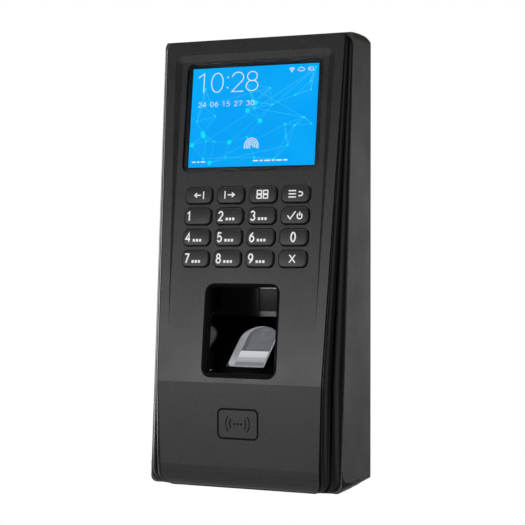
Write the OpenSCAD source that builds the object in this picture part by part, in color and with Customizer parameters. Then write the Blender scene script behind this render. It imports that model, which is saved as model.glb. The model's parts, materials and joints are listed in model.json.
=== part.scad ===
// Wall-mounted fingerprint terminal with display, keypad and card reader.
// Origin: wall plane, mid-width, mid-height. +X right, +Y into the wall, +Z up. Millimetres.
// Heights inside the modules are measured up from the bottom edge, and depths out from the wall.

/* [Body] */
// Overall width
body_w = 82; // [80:0.5:86]
// Overall height
body_h = 180; // [179:0.5:186]
// Overall depth at the crease of the front
body_d = 40; // [38:0.5:42]
// Radius of the rear shell's corners, seen from the front
shell_r = 4; // [2:0.5:6]
// Wall thickness of the rear shell
shell_wall = 2.2; // [1.8:0.1:2.6]
// Depth of the pocket that takes the wall plate
pocket_d = 4; // [3:0.5:4]
// Depth of the inner face of the rear shell's back
shell_floor = 5.8; // [5.5:0.1:5.8]

/* [Front cover] */
// Height of the front cover's top edge
face_top_z = 177.7; // [176:0.1:178]
// Depth of the front cover's top edge
face_top_d = 23.2; // [22:0.1:25]
// Height of the crease between the sloping and the upright front
crease_z = 41.5; // [40:0.5:42]
// Half-width of the front cover at its top
cover_top_x = 38.4; // [38:0.1:38.6]
// Half-width of the front cover at its bottom
cover_low_x = 33.5; // [33:0.1:34]
// Thickness of the front cover
cover_t = 2; // [1.8:0.1:2.2]
// Gap between the front cover and the side bezel
cover_gap = 0.45; // [0.3:0.05:0.6]

/* [Recess around display and keypad] */
// Depth of the recess at its top
recess_d = 1; // [0.6:0.1:1.2]
// Height at which the recess fades out
recess_low_z = 62; // [60:1:66]
// Height of the recess's top edge
recess_top_z = 172.5; // [171:0.5:173]
// Width of the recess's sloping wall at the top
recess_bevel = 2.8; // [2:0.1:3.2]

/* [Display] */
// Width of the display window
window_w = 58.7; // [57:0.1:60]
// Height of the display window
window_h = 44.6; // [43:0.1:45]
// Height of the display's centre
display_z = 147; // [146:0.5:148]

/* [Keypad] */
// Column pitch
key_pitch_x = 13.9; // [13.6:0.1:14]
// Row pitch
key_pitch_z = 8.41; // [8.2:0.01:8.6]
// Height of the top row
key_top_z = 115.2; // [114:0.1:116]
// Width of a key
key_w = 11.7; // [11:0.1:12]
// Height of a key
key_h = 6.5; // [6:0.1:6.8]
// How far a key stands proud
key_proud = 1.1; // [0.8:0.1:1.4]
// Travel of a key
key_travel = 0.8; // [0.5:0.1:0.8]

/* [Finger well] */
// Width of the finger opening
well_w = 32.1; // [31:0.1:33]
// Height of the opening's lower edge
well_low_z = 43.4; // [43:0.1:44]
// Height of the opening's upper edge
well_top_z = 80.4; // [80:0.1:81]
// Width of the well's glossy lip
well_lip = 1.7; // [1.4:0.1:2]
// Depth of the well's back wall
well_back_d = 9; // [9:0.5:10]
// Width of the glass platen
platen_w = 15.7; // [14:0.1:17]
// Length of the glass platen
platen_l = 23.8; // [22:0.1:24]

/* [Wall plate] */
// Thickness of the steel wall plate
plate_t = 1.5; // [1.2:0.1:1.6]
// Width of the wall plate
plate_w = 64; // [62:0.5:64]
// Spacing of the wall screws across
wall_screw_x = 54; // [52:0.5:55]
// Spacing of the wall screws up and down
wall_screw_z = 110; // [108:0.5:112]
// Radius of the wall screw holes
wall_screw_r = 2.25; // [2:0.05:2.5]
// Spacing of the slots that suit a single-gang wall box
gang_z = 83.3; // [83:0.1:84]

/* [Hidden] */
$fn = 48;

eps = 0.01;
far = 60; // longer than any cut needs

// Front face
tilt = atan((body_d - face_top_d) / (face_top_z - crease_z));
side_lean = atan((cover_top_x - cover_low_x) / face_top_z);
cover_low_z = 0;
cover_top_r = 2;
cover_low_r = 4;
roll_z = 8.6; // the front rolls under below this height
roll_d = 4.85; // and by this much in depth
roll_steps = 6;
lower_lean = 0.25; // how far the upright part leans back from the crease down to the roll
roll_in_d = body_d - lower_lean - roll_d;

// Joint between rear shell and side bezel, a plane that slopes like the front
joint_low_d = 34;
joint_slope = 0.0754;
function joint_d(z) = joint_low_d - joint_slope * z;

// Rear shell
shell_top_front_z = 178.6;
shell_back_chamfer = [3.8, 3];
shell_low_r = 2.5; // corner radius at the bottom
shell_low = [[15, 0.4], [10, 1.2], [0, 1.6]]; // bottom edge from front to back, as depth and height
inner_low_z = 3.2;
inner_top_z = 176.2;

// Recess floor
recess_len = (recess_top_z - recess_low_z) / cos(tilt);
recess_run = recess_len - recess_bevel;
sink = asin(recess_d / recess_run);
recess_rim_top_x = 34.6;
recess_rim_low_x = 31.4;
cover_behind_floor = 2.4; // thickness behind the recess floor

// Side bezel and the gasket in its joint
bezel_rim_inset = 0.9;
bezel_rim_grow = 0.9;
bezel_rear_z = [0.1, 178.6];
bezel_rear_r = 6;
bezel_ledge = 1.6;
front_clear = 0.15; // clearance behind the cover's rolled lower edge
boss_clear = 0.6; // clearance between the casing bosses and the cover
gasket_groove = 0.8;

// Keys
key_r = 2.2;
key_hole_gap = 0.4;
flange_front = -2.65;
flange_t = 0.65;
plunger_r = 2;
mat_front = -4.4;
board_front = -5.8;
board_t = 1.6;
plunger_tip = board_front + 0.1 + key_travel;
keypad_boss_x = 24;
keypad_boss_out = 5.7; // beyond the first and last rows
keypad_boss_y = [key_y(3) - keypad_boss_out, key_y(0) + keypad_boss_out];
keypad_mid_y = (key_y(0) + key_y(3)) / 2;
keypad_span_y = key_y(0) - key_y(3);

// Display stack, as distances behind the recess floor
window_t = 1.2;
window_pocket = 1.25;
window_fit = 0.15;
gasket_t = 0.6;
panel_front = cover_behind_floor + gasket_t;
panel_t = 2.4;
panel_w = 60;
panel_h = 46.6;
frame_back = 6.2;
frame_rim = 1;

// Finger well
well_len = (well_top_z - well_low_z) / cos(tilt);
well_r = 4;
well_bevel_d = 1.6;
well_skin = 1.2;
well_back_x = 13.1;
floor_rise = 0.791; // rise of the sloping floor for each millimetre further in
floor_angle = atan(floor_rise);
well_mouth_low_z = well_low_z + well_lip;
well_mouth_top_z = well_top_z - well_lip;
well_mouth_x = well_w / 2 - well_lip;
platen_foot = [32.6, 47.6]; // depth and height of the platen's lower edge
floor_foot_d = platen_foot[0] + (platen_foot[1] - well_mouth_low_z) / floor_rise;
guide_d = 34.5; // depth at which the finger guides start
guide_h = 5.2;
guide_t = 0.8;
platen_proud = 0.5;
platen_t = 2.7;
presence_w = 9;
presence_z = [68.5, 77.6];
housing_x = 11;
housing_n = -9;

// Boards and fasteners
main_d = 8.6; // depth of the main board's rear face
main_x = 30.5;
main_z = [86, 168];
main_hole_x = 26.5;
main_hole_z = [91, 163];
io_d = 20;
io_x = 29;
io_z = [11, 41];
io_hole_x = 26.5;
io_hole_z = [15.5, 36.5];
standoff_r = 2.6;
pilot_r = 1.05;
screw_r = 1;
boss_x = 34.8; // casing bosses
boss_z = [14, 166];
boss_r = 3.4;
bay_x = 21; // window in the back for the wiring
bay_z = [13, 39];
lock_d = 9;
hook_x = 18; // hooks at the top of the wall plate
hook_z = 161.5;
speaker_x = -24;
speaker_d = 20;
speaker_r = 8;
usb_x = 20;
usb_d = io_d + board_t;
// Each chip's place across and up, width and height
chips = [[-22, 118, 9, 6], [-22, 132, 8, 8], [18, 104, 10, 7], [-8, 152, 12, 5], [16, 152, 6, 6]];
chip_t = 1.2;
shield_x = [-4, 20];
shield_z = [114, 144];
shield_t = 2.4;
cell_at = [-17, 101];
cell_r = 6.25;
relay_x = [-20, -4.5];
relay_z = [23, 33.5];
relay_t = 11.5;
jack_x = [3, 19];
jack_z = [16, 30];
jack_mid_x = (jack_x[0] + jack_x[1]) / 2;
jack_open = [11.8, 7.2, 11.5]; // width, height and depth of the plug's opening
jack_d = 6.6;
term_x = [-20, 0];
term_z = [[16, 24.5], [27, 35.5]];
term_pitch = 3.5;
card_d = 34.5;
card_board_x = 25;
card_board_z = [8, 38];
coil_turns = 5;
coil_step = 1.6;
tamper_at = [20, 96];
tamper_half = 3;
plunger_bore_r = 1.7;
plunger_tip_r = 1.4;

// ---------- frames of reference ----------

module from_bottom() translate([0, 0, -body_h / 2]) children();

function face_d(z) = body_d - (z - crease_z) * tan(tilt);

// Local X right, Y up the sloping front, Z outwards, with its origin on the front at height z
module on_face(z) translate([0, -face_d(z), z]) rotate([90 - tilt, 0, 0]) children();

// The same on the recess floor, with its origin where the recess fades out
module on_floor() translate([0, -face_d(recess_low_z), recess_low_z])
    rotate([90 - tilt - sink, 0, 0]) children();
function floor_y(z) = (z - recess_low_z) / cos(tilt + sink);

// Local Y up the well's sloping floor, Z out of it, with its origin at the platen's lower edge
module on_incline() translate([0, -platen_foot[0], platen_foot[1]]) rotate([floor_angle, 0, 0]) children();

// Extrudes a [depth, height] outline across the body
module side_prism(half_w, outline) rotate([90, 0, 90])
    linear_extrude(2 * half_w, center = true) polygon([for (p = outline) [-p[0], p[1]]]);

// Extrudes a shape drawn as seen from the front between two depths
module front_prism(d0, d1) translate([0, -d0, 0]) rotate([90, 0, 0]) linear_extrude(d1 - d0) children();

module round_rect(w, h, r) {
    square([w - 2 * r, h], center = true);
    square([w, h - 2 * r], center = true);
    for (x = [-1, 1], y = [-1, 1])
        translate([x * (w / 2 - r), y * (h / 2 - r)]) circle(r);
}

// A rounded rectangle between two heights, seen from the front
module band_rect(w, z0, z1, r) translate([0, (z0 + z1) / 2]) round_rect(w, z1 - z0, r);

// A pin or hole that runs straight out from the wall
module out_cylinder(r, x, z, d0, d1) translate([x, -d0, z]) rotate([90, 0, 0]) cylinder(r = r, h = d1 - d0);

// A block given by its corners as [x, depth, height]
module out_block(a, b) translate([a[0], -b[1], a[2]]) cube([b[0] - a[0], b[1] - a[1], b[2] - a[2]]);

// ---------- outlines ----------

function arc(c, r, a0, a1, n) =
    [for (i = [0 : n]) let (a = a0 + (a1 - a0) * i / n) c + r * [cos(a), sin(a)]];
function flip(points) = [for (i = [len(points) - 1 : -1 : 0]) points[i]];

// Outline of the front cover seen from the front, grown by g
function cover_half(g) =
    let (top_r = cover_top_r + g, low_r = cover_low_r + g)
    let (top_z = face_top_z - cover_top_r, low_z = cover_low_z + cover_low_r)
    let (lean = tan(side_lean), edge = cos(side_lean))
    let (top_x = cover_top_x - cover_top_r * lean - cover_top_r / edge)
    let (low_x = cover_low_x + low_z * lean - cover_low_r / edge)
    concat(
        arc([low_x, low_z], low_r, -90, -side_lean, 6),
        arc([top_x, top_z], top_r, -side_lean, 90, 6)
    );
module cover_outline(g) polygon(concat(cover_half(g), [for (p = flip(cover_half(g))) [-p[0], p[1]]]));

// Side outline of the front, inset by i from the outer face, from the given top height down
function front_line(i, top_z) = concat(
    [[face_d(top_z) - i / cos(tilt), top_z], [body_d - i, crease_z]],
    [for (s = [0 : roll_steps]) let (a = 90 * s / roll_steps)
        [roll_in_d + (roll_d - i) * cos(a), roll_z - (roll_z - cover_low_z - i) * sin(a)]]
);
function front_skin(i0, i1, top_z) = concat(front_line(i0, top_z), flip(front_line(i1, top_z)));
function front_of(i, top_z) = concat(
    front_line(i, top_z),
    [[roll_in_d - front_clear, -far], [far, -far], [far, top_z]]
);

// ---------- casing ----------

module wall_plate() color("silver") from_bottom() difference() {
    union() {
        front_prism(0, plate_t) band_rect(plate_w, 8, 170, 3);
        for (s = [-1, 1]) {
            out_block([hook_x * s - 4, 0.5, hook_z], [hook_x * s + 4, 7.4, hook_z + 1.5]);
            out_block([hook_x * s - 4, 6.2, hook_z], [hook_x * s + 4, 7.4, hook_z + 5]);
        }
        out_block([-6, 0, 6.5], [6, 13, 8 + eps]);
    }
    for (x = [-1, 1], z = [-1, 1])
        out_cylinder(wall_screw_r, x * wall_screw_x / 2, body_h / 2 + z * wall_screw_z / 2, -1, 3);
    for (s = [-1, 1])
        front_prism(-1, 3) translate([0, body_h / 2 + s * gang_z / 2]) {
            square([4, 4], center = true);
            for (e = [-1, 1]) translate([0, 2 * e]) circle(2);
        }
    front_prism(-1, 3) band_rect(2 * bay_x, bay_z[0], bay_z[1], 2);
    for (s = [-1, 1])
        front_prism(-1, 3) band_rect_at(hook_x * s, 10.5, hook_z - 5, hook_z + eps, 1);
    translate([0, -lock_d, 6]) cylinder(r = 1.35, h = 3);
}
module band_rect_at(x, w, z0, z1, r) translate([x, 0]) band_rect(w, z0, z1, r);

module lock_screw() color("gainsboro") from_bottom() translate([0, -lock_d, 0]) difference() {
    union() {
        translate([0, 0, 1.6]) cylinder(r = 2.7, h = 1.6);
        translate([0, 0, 3.1]) cylinder(r = 1.25, h = 6.3);
    }
    translate([0, 0, 1.6 - eps]) cylinder(r = 1.3, h = 1.1, $fn = 6);
}

module rear_shell() color([0.27, 0.27, 0.26]) from_bottom() difference() {
    union() {
        difference() {
            intersection() {
                front_prism(0, body_d) {
                    band_rect(body_w, 20, body_h, shell_r);
                    band_rect(body_w, 0, 40, shell_low_r);
                }
                side_prism(body_w, concat(flip(shell_low), [
                    [joint_d(0), 0], [joint_d(shell_top_front_z), shell_top_front_z],
                    [shell_back_chamfer[0], body_h], [0, body_h - shell_back_chamfer[1]]
                ]));
            }
            front_prism(shell_floor, body_d)
                band_rect(body_w - 2 * shell_wall, inner_low_z, inner_top_z, 2);
        }
        for (x = [-1, 1], z = main_hole_z)
            out_cylinder(standoff_r, x * main_hole_x, z, shell_floor - 0.5, main_d);
        for (x = [-1, 1], z = io_hole_z)
            out_cylinder(standoff_r, x * io_hole_x, z, shell_floor - 0.5, io_d);
        translate([0, -lock_d, inner_low_z - 0.5]) cylinder(r = 4.2, h = 3.2);
        speaker_ring();
    }
    front_prism(-1, pocket_d) band_rect(plate_w + 0.8, 6, 171, 3.4);
    front_prism(-1, shell_floor + 1) band_rect(2 * bay_x, bay_z[0], bay_z[1], 2);
    for (s = [-1, 1])
        front_prism(-1, shell_floor + 1) band_rect_at(hook_x * s, 9, hook_z - 4.5, hook_z + 1.6, 1);
    out_block([-6.4, 1, 6.2], [6.4, shell_floor + 1, 8.4]);
    for (x = [-1, 1], z = boss_z) {
        out_cylinder(1.6, x * boss_x, z, -1, shell_floor + 1);
        out_cylinder(2.9, x * boss_x, z, -1, 3.5);
    }
    for (x = [-1, 1], z = main_hole_z) out_cylinder(pilot_r, x * main_hole_x, z, 6, far / 2);
    for (x = [-1, 1], z = io_hole_z) out_cylinder(pilot_r, x * io_hole_x, z, 8, far / 2);
    out_cylinder(plunger_bore_r, tamper_at[0], tamper_at[1], 1, shell_floor + 1);
    translate([0, -lock_d, -1]) cylinder(r = 3.1, h = 4.3);
    translate([0, -lock_d, -1]) cylinder(r = 1.6, h = 8);
    for (i = [-2 : 2]) translate([speaker_x + 2.6 * i, -speaker_d, -1]) sound_slot(10 - abs(i) * 1.6);
    out_block([usb_x - 4.3, usb_d - 0.3, -1], [usb_x + 4.3, usb_d + 3.3, inner_low_z + 1]);
    front_joint_groove();
}

// Slot through the bottom wall in front of the speaker
module sound_slot(l) linear_extrude(inner_low_z + 2) {
    square([1.2, l], center = true);
    for (e = [-1, 1]) translate([0, e * l / 2]) circle(0.6);
}
module speaker_ring() translate([speaker_x, -speaker_d, inner_low_z - 0.5]) difference() {
    cylinder(r = speaker_r + 1.3, h = 3);
    translate([0, 0, -1]) cylinder(r = speaker_r + 0.25, h = 6);
}

// Groove for the gasket, cut into the rear shell's sloping front edge
module joint_ring(under) intersection() {
    front_prism(0, body_d) difference() {
        band_rect(body_w - 1.2, 0.6, 177.8, shell_r - 0.6);
        band_rect(body_w - 3.2, 1.6, 176.8, shell_r - 1.6);
    }
    side_prism(body_w, [
        [joint_d(0) - gasket_groove, 0], [joint_d(0) + under, 0],
        [joint_d(body_h) + under, body_h], [joint_d(body_h) - gasket_groove, body_h]
    ]);
}
module front_joint_groove() joint_ring(1);
module shell_gasket() color("black") from_bottom() joint_ring(0);

module side_bezel() color([0.03, 0.03, 0.03]) from_bottom() difference() {
    union() {
        difference() {
            hull() {
                intersection() {
                    front_prism(0, far) cover_outline(bezel_rim_grow);
                    front_prism(0, far) band_rect(body_w, 0, body_h, 1);
                    side_prism(body_w,
                        front_skin(bezel_rim_inset, bezel_rim_inset + 0.1, face_top_z + bezel_rim_grow));
                }
                intersection() {
                    front_prism(0, far) band_rect(body_w, bezel_rear_z[0], bezel_rear_z[1], bezel_rear_r);
                    side_prism(body_w, [
                        [joint_d(0), 0], [joint_d(0) + 0.1, 0],
                        [joint_d(body_h) + 0.1, body_h], [joint_d(body_h), body_h]
                    ]);
                }
            }
            intersection() {
                front_prism(0, far) cover_outline(cover_gap);
                side_prism(body_w, front_of(cover_t + 0.1, body_h));
            }
            front_prism(0, far) cover_outline(-bezel_ledge);
        }
        for (x = [-1, 1], z = boss_z) {
            intersection() {
                union() {
                    out_cylinder(boss_r, x * boss_x, z, shell_floor + 0.2, joint_d(z) + 2);
                    out_block([x > 0 ? boss_x : -boss_x - 3, joint_d(z) - 6, z - 1],
                        [x > 0 ? boss_x + 3 : -boss_x, joint_d(z) + 2, z + 1]);
                }
                side_prism(body_w, [
                    [0, 0], [body_d - 3, 0], [body_d - 3, crease_z],
                    [face_d(body_h) - cover_t - boss_clear, body_h], [0, body_h]
                ]);
            }
        }
    }
    for (x = [-1, 1], z = boss_z) out_cylinder(1.3, x * boss_x, z, 0, joint_d(z) - 2);
}

module casing_screws() color("silver") from_bottom()
    for (x = [-1, 1], z = boss_z) pan_screw(x * boss_x, z, 3.4, 2.6, 1.25, 12);

// Pan-head screw with its head's underside at depth d, pointing out from the wall
module pan_screw(x, z, d, head_r, shank_r, l) translate([x, -d, z]) rotate([90, 0, 0])
    difference() {
        union() {
            translate([0, 0, -1.6]) cylinder(r = head_r, h = 1.6);
            translate([0, 0, -eps]) cylinder(r = shank_r, h = l);
        }
        for (a = [0, 90]) rotate([0, 0, a])
            translate([-head_r * 0.62, -0.3, -1.7]) cube([head_r * 1.24, 0.6, 0.9]);
    }

module front_cover() color([0.2, 0.2, 0.21]) from_bottom() difference() {
    union() {
        intersection() {
            front_prism(0, far) cover_outline(0);
            side_prism(body_w, front_skin(0, cover_t, body_h));
        }
        on_floor() translate([-recess_rim_low_x, 2, -cover_behind_floor])
            cube([2 * recess_rim_low_x, recess_run - 1, cover_behind_floor - 0.6]);
        on_floor() for (x = [-1, 1], y = keypad_boss_y)
            translate([x * keypad_boss_x, y, board_front]) cylinder(r = 1.5, h = -board_front - 1);
    }
    on_face(recess_low_z) hull() {
        linear_extrude(2) recess_rim();
        for (s = [-1, 1])
            translate([s * (recess_rim_top_x - recess_bevel - 1.5), recess_run - 1.5, -recess_d])
                cylinder(r = 1.5, h = 0.5, $fn = 24);
    }
    on_floor() {
        translate([0, floor_y(display_z), -window_pocket]) linear_extrude(5)
            round_rect(window_w + 2 * window_fit, window_h + 2 * window_fit, 2.9);
        translate([0, floor_y(display_z), -8]) linear_extrude(12)
            round_rect(window_w - 2.7, window_h - 2.6, 1.5);
        for (r = [0 : 3], c = [0 : 3]) translate([key_x(c), key_y(r), -8]) linear_extrude(12)
            round_rect(key_w + 2 * key_hole_gap, key_h + 2 * key_hole_gap, key_r + key_hole_gap);
        for (x = [-1, 1], y = keypad_boss_y)
            translate([x * keypad_boss_x, y, board_front - 1]) cylinder(r = 0.85, h = 4);
    }
    on_face(well_low_z) translate([0, well_len / 2, -8]) linear_extrude(12)
        round_rect(well_w, well_len, well_r);
}
module recess_rim() hull() {
    translate([0, 0.5]) square([2 * recess_rim_low_x, 1], center = true);
    for (s = [-1, 1]) translate([s * (recess_rim_top_x - 4), recess_len - 4]) circle(4, $fn = 32);
}

// ---------- display ----------

module display_window() color([0.02, 0.02, 0.03]) from_bottom() on_floor()
    translate([0, floor_y(display_z), -window_t - 0.05]) linear_extrude(window_t)
        round_rect(window_w, window_h, 2.75);

module display_gasket() color("dimgray") from_bottom() on_floor()
    translate([0, floor_y(display_z), -cover_behind_floor - gasket_t]) linear_extrude(gasket_t)
        difference() {
            square([panel_w, panel_h], center = true);
            square([panel_w - 3.6, panel_h - 4], center = true);
        }

module lcd_panel() color([0, 0.5, 0.9]) from_bottom() on_floor()
    translate([-panel_w / 2, floor_y(display_z) - panel_h / 2, -panel_front - panel_t])
        cube([panel_w, panel_h, panel_t]);

module lcd_frame() color("silver") from_bottom() on_floor() translate([0, floor_y(display_z), 0])
    difference() {
        translate([-panel_w / 2 - frame_rim, -panel_h / 2 - frame_rim, -frame_back])
            cube([panel_w + 2 * frame_rim, panel_h + 2 * frame_rim, frame_back - panel_front - 0.05]);
        translate([-panel_w / 2 - 0.1, -panel_h / 2 - 0.1, -panel_front - panel_t - 0.05])
            cube([panel_w + 0.2, panel_h + 0.2, panel_t + 1]);
        translate([-8, -22, -frame_back - 1]) cube([16, 5, 3]);
    }

// A flat flex in a side view: a path of [depth, height] points, offset by the vector t for its thickness
module flex(x, w, path, t) translate([x, 0, 0])
    side_prism(w / 2, concat(path, flip([for (p = path) p + t])));

module lcd_ribbon() color("orange") from_bottom()
    flex(-14, 10, [[20.9, 136], [18, 134.5], [15, 131], [12.5, 126], [10.4, 124.5]], [0.15, 0.4]);

// ---------- keypad ----------

function key_x(c) = (c - 1.5) * key_pitch_x;
function key_y(r) = floor_y(key_top_z - r * key_pitch_z);

// Row and column of a key, counted from the top left
module key(r, c) color([0.22, 0.22, 0.23]) from_bottom() on_floor() translate([key_x(c), key_y(r), 0]) {
    translate([0, 0, flange_front - eps]) linear_extrude(key_proud - flange_front)
        round_rect(key_w, key_h, key_r);
    translate([0, 0, flange_front - flange_t]) linear_extrude(flange_t)
        round_rect(key_w + 1.4, key_h + 1.2, 1.5);
    translate([0, 0, plunger_tip]) cylinder(r = plunger_r, h = flange_front - plunger_tip - 0.1);
}
module key_in() key(0, 0);
module key_out() key(0, 1);
module key_fn() key(0, 2);
module key_menu() key(0, 3);
module key_1() key(1, 0);
module key_2() key(1, 1);
module key_3() key(1, 2);
module key_ok() key(1, 3);
module key_4() key(2, 0);
module key_5() key(2, 1);
module key_6() key(2, 2);
module key_0() key(2, 3);
module key_7() key(3, 0);
module key_8() key(3, 1);
module key_9() key(3, 2);
module key_clear() key(3, 3);

module keypad_mat() color("gray") from_bottom() on_floor() difference() {
    translate([-26.8, keypad_mid_y - keypad_span_y / 2 - 3.9, board_front])
        cube([53.6, keypad_span_y + 7.8, mat_front - board_front]);
    for (r = [0 : 3], c = [0 : 3])
        translate([key_x(c), key_y(r), board_front - 1]) cylinder(r = plunger_r + 0.6, h = 4);
}

module keypad_board() color("darkgreen") from_bottom() on_floor() difference() {
    translate([-30, keypad_boss_y[0] - 2, board_front - board_t])
        cube([60, keypad_boss_y[1] - keypad_boss_y[0] + 3.8, board_t]);
    for (x = [-1, 1], y = keypad_boss_y)
        translate([x * keypad_boss_x, y, board_front - 3]) cylinder(r = 1.1, h = 5);
}

module keypad_screws() color("silver") from_bottom() on_floor()
    for (x = [-1, 1], y = keypad_boss_y) translate([x * keypad_boss_x, y, board_front - board_t]) {
        translate([0, 0, -1.2]) cylinder(r = 1.7, h = 1.2);
        translate([0, 0, -eps]) cylinder(r = 0.8, h = 4.2);
    }

// ---------- finger well and sensor ----------

function floor_z(d) = well_mouth_low_z + (floor_foot_d - d) * floor_rise;

module well_space() intersection() {
    side_prism(body_w, [
        [far, well_mouth_low_z], [floor_foot_d, well_mouth_low_z], [well_back_d, floor_z(well_back_d)],
        [well_back_d, well_mouth_top_z], [far, well_mouth_top_z]
    ]);
    linear_extrude(body_h) polygon([
        [-well_back_x, -well_back_d], [-well_mouth_x, -36], [-well_mouth_x, -far],
        [well_mouth_x, -far], [well_mouth_x, -36], [well_back_x, -well_back_d]
    ]);
}

module finger_well() color([0.02, 0.02, 0.02]) from_bottom() difference() {
    union() {
        difference() {
            union() {
                intersection() {
                    side_prism(body_w, [
                        [36.4, well_mouth_low_z - well_skin],
                        [floor_foot_d - 0.5, well_mouth_low_z - well_skin],
                        [well_back_d - well_skin, floor_z(well_back_d) - 0.6],
                        [well_back_d - well_skin, well_mouth_top_z + well_skin],
                        [32.2, well_mouth_top_z + well_skin]
                    ]);
                    linear_extrude(body_h) polygon([
                        [-well_back_x - well_skin, -5], [-well_mouth_x - well_skin, -37],
                        [well_mouth_x + well_skin, -37], [well_back_x + well_skin, -5]
                    ]);
                }
                on_face(well_low_z) translate([0, well_len / 2, 0]) {
                    translate([0, 0, -5]) linear_extrude(4.75)
                        round_rect(well_w - 0.3, well_len - 0.3, well_r - 0.15);
                    translate([0, 0, -3.9]) linear_extrude(1.2)
                        round_rect(well_w + 4, well_len + 3.4, well_r);
                }
            }
            well_space();
            on_face(well_low_z) translate([0, well_len / 2, 0]) hull() {
                linear_extrude(eps) round_rect(well_w - 0.9, well_len - 0.9, well_r - 0.4);
                translate([0, 0, -well_bevel_d]) linear_extrude(eps)
                    round_rect(well_w - 2 * well_lip, well_len - 2 * well_lip, well_r - well_lip);
            }
        }
        intersection() {
            well_space();
            for (s = [-1, 1]) translate([s * (well_mouth_x - 0.1), 0, 0]) side_prism(guide_t + 0.3, [
                [guide_d, floor_z(guide_d) - 1], [guide_d, floor_z(guide_d) + guide_h - 1.5],
                [guide_d - 1.5, floor_z(guide_d - 1.5) + guide_h],
                [well_back_d - 0.5, floor_z(well_back_d - 0.5) + guide_h],
                [well_back_d - 0.5, floor_z(well_back_d) - 1]
            ]);
        }
    }
    on_incline() translate([0, 0, -4]) linear_extrude(8) arch(platen_w + 0.4, platen_l + 0.4, -0.2);
    front_prism(0, well_back_d + 1)
        band_rect(presence_w + 0.3, presence_z[0] - 0.15, presence_z[1] + 0.15, 0.6);
}

// A straight-sided arch that starts at y0 and is l long
module arch(w, l, y0) {
    translate([-w / 2, y0]) square([w, l - w / 2]);
    translate([0, y0 + l - w / 2]) circle(w / 2);
}

module sensor_platen() color([0.7, 0.75, 0.8]) from_bottom() on_incline()
    translate([0, 0, platen_proud - platen_t]) linear_extrude(platen_t) arch(platen_w, platen_l, 0);

module presence_window() color([0.1, 0.1, 0.11]) from_bottom()
    front_prism(well_back_d - well_skin, well_back_d + 0.15)
        band_rect(presence_w, presence_z[0], presence_z[1], 0.5);

module sensor_housing() color([0.1, 0.1, 0.1]) from_bottom() on_incline() difference() {
    translate([-housing_x, -1.5, housing_n]) cube([2 * housing_x, 27, -housing_n - 1.4]);
    translate([0, 0, platen_proud - platen_t - 0.1]) linear_extrude(4)
        arch(platen_w + 0.4, platen_l + 0.4, -0.2);
    translate([0, platen_l / 2, housing_n + 1]) cylinder(r = 5.5, h = 8);
}

module sensor_board() color("darkgreen") from_bottom() on_incline()
    translate([-housing_x, 0.5, housing_n - 1.8]) cube([2 * housing_x, 24, 1.6]);

module sensor_ribbon() color("orange") from_bottom()
    flex(0, 8, [[6.2, 57.5], [6.2, 88], [8.1, 90.5]], [0.3, 0]);

// ---------- card reader ----------

module card_board() color("darkgreen") from_bottom()
    out_block([-card_board_x, card_d, card_board_z[0]], [card_board_x, card_d + 1.4, card_board_z[1]]);

module card_coil() color("peru") from_bottom() for (i = [0 : coil_turns - 1])
    front_prism(card_d + 1.4, card_d + 1.55) difference() {
        coil_turn(1 + coil_step * i, 1.5);
        coil_turn(1 + coil_step * (i + 0.5), 0.8);
    }
module coil_turn(i, r)
    band_rect(2 * (card_board_x - i), card_board_z[0] + i, card_board_z[1] - i, r);

// ---------- main board ----------

module main_board() color("darkgreen") from_bottom() difference() {
    union() {
        out_block([-main_x, main_d, main_z[0]], [main_x, main_d + board_t, main_z[1]]);
        for (c = chips)
            out_block([c[0] - c[2] / 2, main_d + board_t - eps, c[1] - c[3] / 2],
                [c[0] + c[2] / 2, main_d + board_t + chip_t, c[1] + c[3] / 2]);
    }
    for (x = [-1, 1], z = main_hole_z) out_cylinder(1.4, x * main_hole_x, z, main_d - 1, main_d + 3);
}

module processor_shield() color("silver") from_bottom() difference() {
    out_block([shield_x[0], main_d + board_t, shield_z[0]],
        [shield_x[1], main_d + board_t + shield_t, shield_z[1]]);
    out_block([shield_x[0] + 0.4, main_d + board_t - 1, shield_z[0] + 0.4],
        [shield_x[1] - 0.4, main_d + board_t + shield_t - 0.4, shield_z[1] - 0.4]);
}

module backup_cell() color("gainsboro") from_bottom()
    out_cylinder(cell_r, cell_at[0], cell_at[1], main_d + board_t + 0.8, main_d + board_t + 2.8);
module cell_holder() color("black") from_bottom() difference() {
    translate([cell_at[0], -main_d - board_t - 1.2, cell_at[1]])
        cube([2 * cell_r + 2.7, 2.4, 2 * cell_r + 2.7], center = true);
    out_cylinder(cell_r + 0.15, cell_at[0], cell_at[1], main_d + board_t + 0.7, far / 2);
}

module board_screws() color("silver") from_bottom() {
    for (x = [-1, 1], z = main_hole_z) board_screw(x * main_hole_x, z, main_d + board_t);
    for (x = [-1, 1], z = io_hole_z) board_screw(x * io_hole_x, z, io_d + board_t);
}
module board_screw(x, z, d) {
    out_cylinder(2.2, x, z, d, d + 1.5);
    out_cylinder(screw_r, x, z, d - 3.9, d + eps);
}

module wifi_antenna() color("gold") from_bottom()
    out_block([-18, 9.5, inner_top_z - 0.6], [18, 15.5, inner_top_z - 0.1]);

// ---------- wiring board ----------

module io_board() color("darkgreen") from_bottom() difference() {
    union() {
        out_block([-io_x, io_d, io_z[0]], [io_x, io_d + board_t, io_z[1]]);
        out_block([usb_x - 6, io_d, 3.5], [usb_x + 6, io_d + board_t, io_z[0] + eps]);
    }
    for (x = [-1, 1], z = io_hole_z) out_cylinder(1.4, x * io_hole_x, z, io_d - 1, io_d + 3);
}

module relay() color("royalblue") from_bottom()
    out_block([relay_x[0], io_d + board_t, relay_z[0]], [relay_x[1], io_d + board_t + relay_t, relay_z[1]]);

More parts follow.
